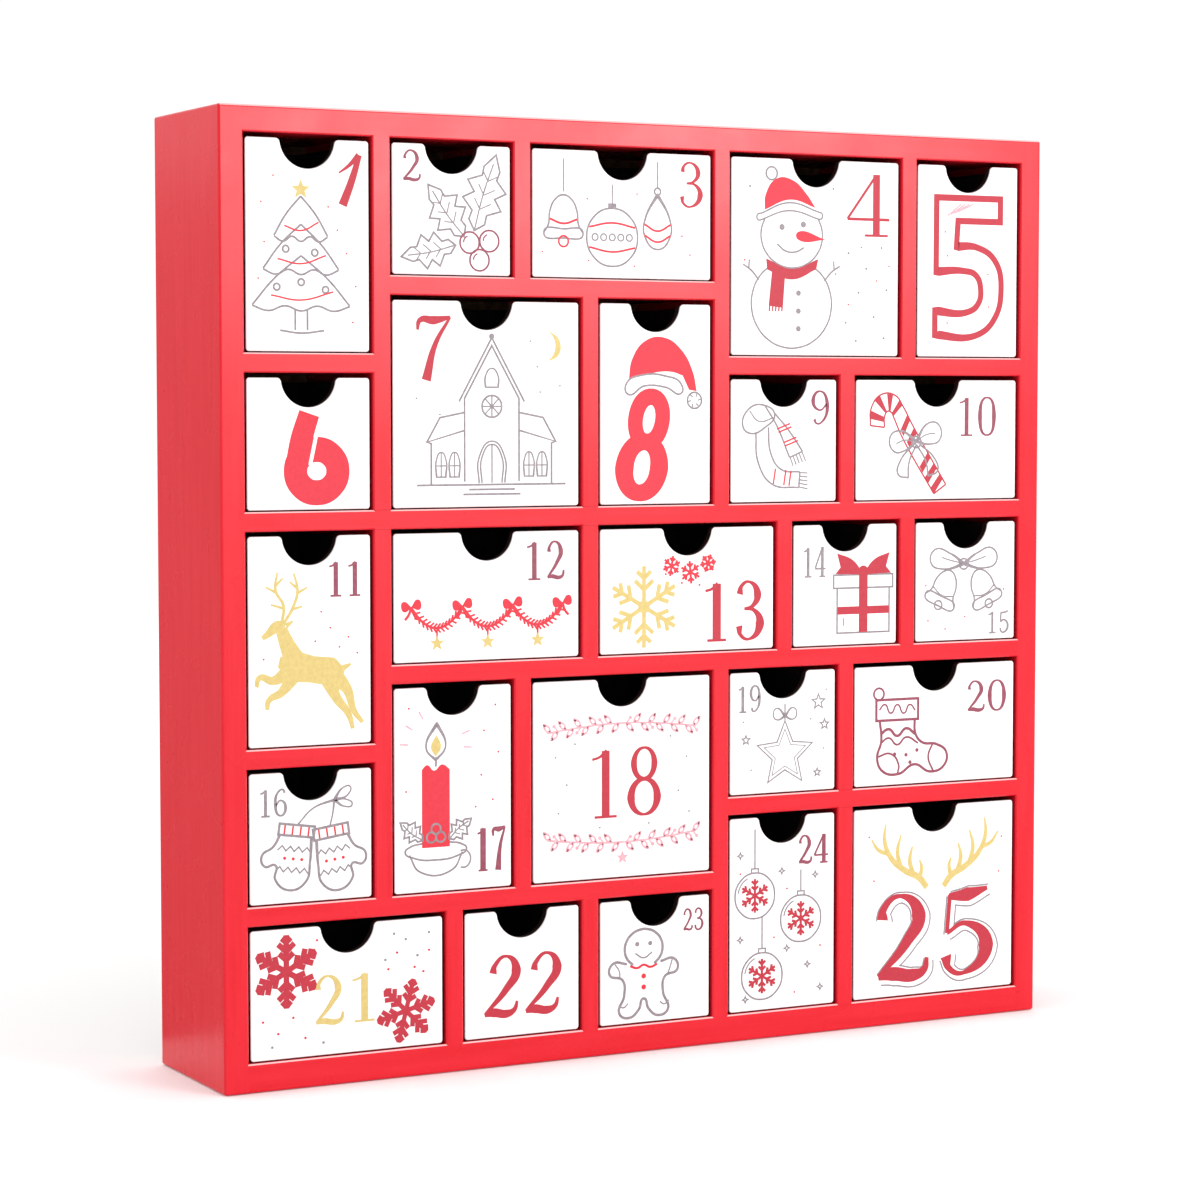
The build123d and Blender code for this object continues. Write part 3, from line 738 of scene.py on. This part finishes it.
def twigHeight(u, v, up):
    return v + up * swagTwig["rise"] * cos(pi * (u - swagTwig["middle"]) / swagTwig["span"])


def swag(art, v, up):
    # arched leafy twig that grows outwards from the middle
    stem = [5 + 6.825 * i for i in range(9)]
    line(art, "pink", [(u, twigHeight(u, v, up)) for u in stem], 0.4)
    for i in range(20):
        u = 6.2 + 2.75 * i
        height = twigHeight(u, v, up)
        grow = 0 if u > swagTwig["middle"] else 180
        lean = 48 if i % 2 else -48
        leaf = [(0.3, 0), (1.6, 0.75), (3.6, 0), (1.6, -0.75)]
        line(art, "pink", placed(leaf, u, height, 1, grow + lean), 0.28, closed=True, corners=(0, 2))
        if i % 3 == 1:
            berry = placed([(0, 0), (2.2, 0)], u, height, 1, grow - lean)
            line(art, "pink", berry, 0.26, smooth=False)
            dot(art, "pink", *berry[1], 0.6)


def drawSwags(art):
    swag(art, 47.4, 1)
    swag(art, 14, -1)
    shape(art, "pink", starPoints(32.3, 6.4, 2.2), smooth=False)
    speckle(art, "grey", [(8, 40), (12, 31), (9, 22), (56, 38), (53, 27), (57, 20), (15, 44), (50, 45),
                          (24, 16.6), (42, 17)], 0.3)
    number(art, "crimson", "18", (19.6, 19.6, 46.6, 42), weight=0.88)


def drawHangingStar(art):
    line(art, "grey", starPoints(21, 12.6, 11.2, 0.46), 0.28, closed=True, smooth=False)
    line(art, "grey", starPoints(21, 12.6, 8.4, 0.46), 0.12, closed=True, smooth=False)
    line(art, "grey", [(21, 23.8), (21, 29.4)], 0.3, smooth=False)
    for flip in (False, True):
        line(art, "grey", placed([(0, 0), (3.4, 2.6), (4.4, 0), (3, -1.2)], 21, 25.4, 1, 0, flip), 0.28,
             closed=True, corners=(0,))
    for u, v, r in ((34, 29.6, 2.6), (36.4, 22, 1.8), (6, 18, 1.6), (33.6, 6, 1.4)):
        line(art, "grey", starPoints(u, v, r), 0.28, closed=True, smooth=False)
    speckle(art, "grey", [(31, 24), (37, 33.6), (8, 8), (36, 14), (5, 24)], 0.3)
    number(art, "grey", "19", (2.6, 27.2, 11.6, 36), weight=0.78)


def drawStocking(art):
    boot = [(10, 22), (10.6, 15), (9, 9.4), (11, 5), (17.4, 3.6), (24, 6.6), (30.4, 3.8), (36, 5.6), (37, 10),
            (33, 13), (27, 14), (24.4, 17), (24, 22)]
    line(art, "plum", boot, 0.72, corners=(0, 12))
    line(art, "plum", [(8.6, 22), (25.4, 22), (25.4, 29), (8.6, 29)], 0.72, closed=True, smooth=False)
    line(art, "plum", [(9.8, 25.6), (12, 27.4), (14.4, 24.4), (17, 27.2), (19.6, 24.2), (22, 27), (24.2, 25)],
         0.4)
    line(art, "plum", [(10.3, 17.4), (13.6, 19), (17, 16.6), (20.6, 19), (24.2, 17)], 0.8)
    line(art, "plum", [(10.4, 14.4), (13.6, 16), (17, 13.6), (20.6, 16), (25.4, 13.8)], 0.5)
    line(art, "plum", [(9.2, 9.8), (14.4, 10.6), (17.6, 6.8), (17.2, 3.7)], 0.5)
    line(art, "plum", [(31.4, 13.4), (29.6, 9), (31.6, 3.9)], 0.5)
    line(art, "plum", ring(9.6, 31, 2, start=-60, turn=300, count=8), 0.5)
    for u, v in ((14.4, 10.4), (19, 10), (23.4, 11.4), (20.6, 7.4)):
        dot(art, "plum", u + 1.6, v, 0.65)
    number(art, "plum", "20", (45, 23.4, 61.6, 34), weight=1.05)


def drawRedFlakes(art):
    snowflake(art, "crimson", 11.8, 27, 11.4, 1.65, ((0.32, 0.28), (0.55, 0.32), (0.8, 0.18)))
    shape(art, "crimson", starPoints(11.8, 27, 3.2, 0.55, 6), smooth=False)
    snowflake(art, "crimson", 52, 11.4, 10.2, 1.3, ((0.32, 0.28), (0.55, 0.32), (0.8, 0.18)), 75)
    speckle(art, "red", [(4, 12), (9, 8), (14, 12.6), (22, 36), (46, 25), (55, 25), (60, 30), (49, 30),
                         (18, 6), (58, 23.4)], 0.38)
    speckle(art, "grey", [(52, 34), (60, 35.6), (45, 28), (7, 4), (24, 4), (56, 28.6), (48, 36)], 0.4)
    number(art, "gold", "21", (20.6, 9.4, 43, 24.8), weight=1.0)


def drawTwentyTwo(art):
    number(art, "crimson", "22", (5.4, 6.4, 36, 26), slant=0.16, weight=1.25)


def drawGingerbread(art):
    body = [(9.8, 19.6), (4.6, 20), (3.4, 16.6), (8.2, 14.4), (8.8, 9.4), (7, 3.6), (10.6, 1.9), (14.2, 4.4),
            (16, 7.8), (17.8, 4.4), (21.4, 1.9), (25, 3.6), (23.2, 9.4), (23.8, 14.4), (28.6, 16.6),
            (27.4, 20), (22.2, 19.6)]
    line(art, "grey", body, 0.72)
    line(art, "grey", ring(16, 24.3, 7, 6.3, start=-56, turn=292, count=12), 0.72)
    dot(art, "grey", 13.6, 25.8, 0.75)
    dot(art, "grey", 18.4, 25.8, 0.75)
    line(art, "grey", [(12.9, 22.8), (16, 21.2), (19.1, 22.8)], 0.34)
    line(art, "red", [(11, 18.8), (13.6, 18), (16, 18.9), (18.4, 18), (21, 18.8)], 0.6)
    for v in (15.2, 11.6):
        dot(art, "red", 16, v, 0.85)
    for u, side in ((6.6, 1), (25.4, -1)):
        line(art, "grey", [(u - 1.2 * side, 19.8), (u + 0.4, 17.4), (u + 0.6 * side, 15)], 0.28)
    for u in (8.4, 23.6):
        line(art, "grey", [(u - 1.6, 6.4), (u, 5.4), (u + 1.8, 6.6)], 0.28)
    number(art, "plum", "23", (30.6, 28.8, 38.4, 36), weight=0.72)


def drawBaubles(art):
    for u, v, r, cordTop in ((9.6, 38.4, 7.6, 60.5), (27.4, 29.6, 7.8, 46), (12.4, 11.4, 7.8, 31)):
        line(art, "grey", [(u, v + r + 1.4), (u, cordTop)], 0.3, smooth=False)
        circle(art, "grey", u, v, r, width=0.38)
        ferrule = [(-1.3, 0), (1.3, 0), (1.3, 1.4), (-1.3, 1.4)]
        line(art, "grey", placed(ferrule, u, v + r), 0.32, closed=True, smooth=False)
        snowflake(art, "crimson", u, v, r * 0.74, 0.62, ((0.36, 0.3), (0.68, 0.3)))
        line(art, "grey", ring(u, v, r * 0.86, start=115, turn=55, count=4), 0.26)
    for u, v in ((20, 46), (4, 52), (33, 44), (4, 24), (22, 20), (30, 14), (35, 6), (6, 4)):
        line(art, "grey", starPoints(u, v, 1.1, 0.4, 4), 0.24, closed=True, smooth=False)
    speckle(art, "red", [(35, 20), (25, 5), (17, 24), (4, 46), (22, 40)], 0.3)
    number(art, "plum", "24", (26.2, 47.8, 38, 57.4), weight=0.92)


def drawAntlersAndTwentyFive(art):
    number(art, "grey", "25", (7.6, 5.4, 57, 34.6), weight=1.45, spread=2.7, shift=(0.7, -0.6))
    number(art, "white", "25", (7.6, 5.4, 57, 34.6), weight=1.45, spread=1.6, shift=(0.7, -0.6))
    number(art, "crimson", "25", (7.6, 5.4, 57, 34.6), weight=1.45)
    for flip in (False, True):
        beam = [(3.4, 0, 1.9), (6.4, 3.4, 2.1), (12.4, 6.4, 2), (18, 11, 1.7), (20.6, 17, 1.3),
                (20.2, 22.6, 0.4)]
        line(art, "gold", placed(beam, 32.8, 36.4, 1, 0, flip))
        for tine in ([(9, 4.9, 1.6), (10.4, 9.6, 1.4), (9.4, 14.4, 0.4)],
                     [(14, 7.4, 1.6), (15.4, 13, 1.3), (14, 18.6, 0.4)],
                     [(18.8, 12.4, 1.4), (23, 14, 1.1), (25.8, 17.6, 0.4)],
                     [(6.4, 3.4, 1.5), (5.6, 7, 1.1), (6.4, 9.6, 0.4)]):
            line(art, "gold", placed(tine, 32.8, 36.4, 1, 0, flip))
    speckle(art, "red", [(6, 55), (60, 52), (8, 40), (59, 40)], 0.32)


drawings = {1: drawTree, 2: drawHolly, 3: drawOrnaments, 4: drawSnowman, 5: drawBlockFive, 6: drawHeavySix,
            7: drawChapel, 8: drawHatAndEight, 9: drawScarf, 10: drawCane, 11: drawReindeer, 12: drawGarland,
            13: drawGoldFlake, 14: drawGift, 15: drawBells, 16: drawMittens, 17: drawCandle, 18: drawSwags,
            19: drawHangingStar, 20: drawStocking, 21: drawRedFlakes, 22: drawTwentyTwo, 23: drawGingerbread,
            24: drawBaubles, 25: drawAntlersAndTwentyFive}


def pathSheets(bm, marks, level):
    # flat sheets of ink, each a hair higher than the one before so that none lie in one plane
    lines = newCurve(flat=False)
    outlines = []
    for kind, points, width, closed, smooth, corners in marks:
        level += printLayer["stepMm"]
        if kind == "line":
            addPath(lines, points, level, width, closed, smooth, corners)
        else:
            outline = newCurve(flat=True)
            addPath(outline, points, 0, width, True, smooth, corners)
            outlines.append((outline, level))
    for curve, height in [(lines, 0)] + outlines:
        holder = bpy.data.objects.new("inkPath", curve)
        sheet = bpy.data.meshes.new_from_object(holder)
        sheet.transform(Matrix.Translation((0, 0, height)))
        bm.from_mesh(sheet)
        bpy.data.meshes.remove(sheet)
        bpy.data.objects.remove(holder)
        bpy.data.curves.remove(curve)
    return level


def printDrawer(day):
    body = "drawer_%02d" % day
    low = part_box(body + "_front")[0]
    art = {}
    drawings[day](art)
    level = printLayer["proudMm"]
    toFront = Matrix.Translation(low) @ Matrix.Rotation(pi / 2, 4, "X") @ Matrix.Scale(mm, 4)
    for ink, marks in art.items():
        bm = bmesh.new()
        level = pathSheets(bm, marks, level)
        bmesh.ops.remove_doubles(bm, verts=bm.verts, dist=printLayer["mergeMm"])
        bmesh.ops.solidify(bm, geom=bm.faces[:], thickness=level + printLayer["sunkMm"])
        bmesh.ops.transform(bm, matrix=toFront, verts=bm.verts)
        bmesh.ops.recalc_face_normals(bm, faces=bm.faces)
        for face in bm.faces:
            face.smooth = False  # curves give smooth faces, which make thin ink look swollen
        mesh = bpy.data.meshes.new("print_%02d_%s" % (day, ink))
        bm.to_mesh(mesh)
        bm.free()
        mesh.materials.append(inkMaterials[ink])
        piece = bpy.data.objects.new(mesh.name, mesh)
        bpy.context.scene.collection.objects.link(piece)
        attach(piece, body)


for day in drawings:
    printDrawer(day)
print("prints on", len(drawings), "drawer fronts")


# stage, light and camera

stage = {"floorSize": 60, "floorGap": 0.0002, "floorColour": "fcfcfc", "paperRoughness": 0.9,
         "worldLight": 1.03}
softboxes = {
    "keySoftbox": {"place": (0.67, -1.42, 0.465), "aim": (0, 0, 0.27), "size": (0.64, 0.24), "watts": 14},
    "fillSoftbox": {"place": (-1.5, 0.6, 0.6), "aim": (-0.1, 0, 0.15), "size": (0.8, 0.8), "watts": 5},
    "backSoftbox": {"place": (0.5, 1.8, 1.0), "aim": (0, 0, 0.15), "size": (1.4, 1.4), "watts": 4},
}
greyFlag = {"place": (-0.36, 0.355, 0.168), "size": (0.62, 0.7), "lean": 28, "colour": "a4a4a4"}
camera = {"place": (-0.5034, -0.9348, 0.2108), "azimuth": -28.01, "elevation": 3.52, "focalPixels": 3216,
          "framePixels": 1200, "sensorMm": 36}


def makeStageCard(name, colour, matrix):
    # one metre card, scaled and placed by the matrix
    bm = bmesh.new()
    bmesh.ops.create_grid(bm, x_segments=2, y_segments=2, size=0.5, matrix=matrix)
    mesh = bpy.data.meshes.new(name)
    bm.to_mesh(mesh)
    bm.free()
    paper = {"Roughness": stage["paperRoughness"], "Base Color": hexLinear(colour)}
    mesh.materials.append(startMaterial(name + "Paper", paper)[0])
    card = bpy.data.objects.new(name, mesh)
    bpy.context.scene.collection.objects.link(card)
    return card


def makeFloor():
    flat = Matrix.Translation((0, 0, -stage["floorGap"])) @ Matrix.Scale(stage["floorSize"], 4)
    makeStageCard("studioFloor", stage["floorColour"], flat)


def makeFlag():
    # keeps the white room out of the gloss on the left side, as a photographer's flag does
    leaning = Matrix.Translation(greyFlag["place"]) @ Matrix.Rotation(radians(greyFlag["lean"]), 4, "X")
    flag = makeStageCard("greyFlag", greyFlag["colour"], leaning @ Matrix.Diagonal((*greyFlag["size"], 1, 1)))
    flag.visible_camera = False
    flag.visible_diffuse = False
    flag.visible_shadow = False


def makeSoftbox(name, box):
    light = bpy.data.lights.new(name, "AREA")
    light.shape = "RECTANGLE"
    light.size, light.size_y = box["size"]
    light.energy = box["watts"]
    lamp = bpy.data.objects.new(name, light)
    place = Vector(box["place"])
    aimed = (Vector(box["aim"]) - place).to_track_quat("-Z", "Y").to_matrix().to_4x4()
    lamp.matrix_world = Matrix.Translation(place) @ aimed
    bpy.context.scene.collection.objects.link(lamp)


def makeWorld():
    world = bpy.data.worlds.new("whiteStudio")
    world.use_nodes = True
    world.node_tree.nodes.clear()
    glow = addNode(world, "ShaderNodeBackground", {"Color": (1, 1, 1, 1), "Strength": stage["worldLight"]})
    addNode(world, "ShaderNodeOutputWorld", links={"Surface": glow.outputs["Background"]})
    bpy.context.scene.world = world


def makeCamera():
    lens = bpy.data.cameras.new("photoCamera")
    lens.sensor_width = camera["sensorMm"]
    lens.lens = camera["sensorMm"] * camera["focalPixels"] / camera["framePixels"]
    eye = bpy.data.objects.new("photoCamera", lens)
    eye.location = camera["place"]
    eye.rotation_euler = (radians(90 - camera["elevation"]), 0, radians(camera["azimuth"]))
    bpy.context.scene.collection.objects.link(eye)
    bpy.context.scene.camera = eye


makeFloor()
makeFlag()
for softboxName, softbox in softboxes.items():
    makeSoftbox(softboxName, softbox)
makeWorld()
makeCamera()
bpy.context.scene.view_settings.view_transform = "Standard"
print("studio ready")
